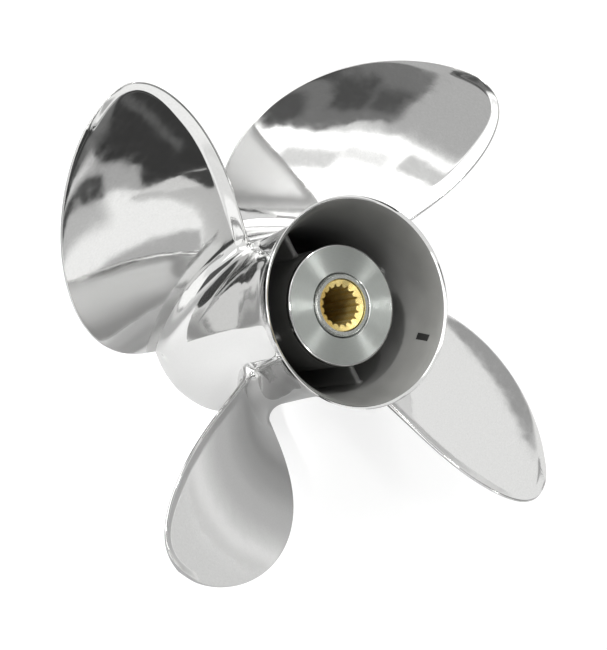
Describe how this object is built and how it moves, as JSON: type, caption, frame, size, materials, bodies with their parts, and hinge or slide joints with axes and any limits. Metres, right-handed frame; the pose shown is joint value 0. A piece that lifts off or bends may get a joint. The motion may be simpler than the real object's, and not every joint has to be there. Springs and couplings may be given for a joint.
{
  "type": "outboard boat propeller",
  "caption": "Stainless steel boat propeller with cupped, raked blades on a hollow exhaust barrel with a flared aft ring and a splined brass sleeve.",
  "frame": {"origin": "centre of the flat front end of the barrel, on the shaft axis", "axes": "+Z along the shaft axis towards the flared aft end, +X through the middle of the root of blade_1"},
  "size_m": [0.3406, 0.3406, 0.16],
  "materials": {
    "polished_steel": "mirror polished stainless steel with fine polishing lines",
    "blasted_steel": "blasted as-cast stainless steel, matte",
    "machined_steel": "turned stainless steel, fine concentric lines",
    "ring_steel": "plated steel ring with a bright bevel",
    "brass": "machined brass",
    "black_rubber": "moulded black rubber"
  },
  "bodies": {
    "root": {"barrel": "polished_steel", "diffuser_ring": "polished_steel", "blade_1": "polished_steel", "blade_2": "polished_steel", "blade_3": "polished_steel", "blade_4": "polished_steel", "strake_1": "polished_steel", "strake_2": "polished_steel", "strake_3": "polished_steel", "strake_4": "polished_steel", "rib_1": "blasted_steel", "rib_2": "blasted_steel", "rib_3": "blasted_steel", "rib_4": "blasted_steel", "inner_hub": "machined_steel", "rubber_bushing": "black_rubber", "aft_ring": "ring_steel", "front_ring": "ring_steel", "spline_sleeve": "brass", "slot_plug": "black_rubber"}
  },
  "joints": []
}
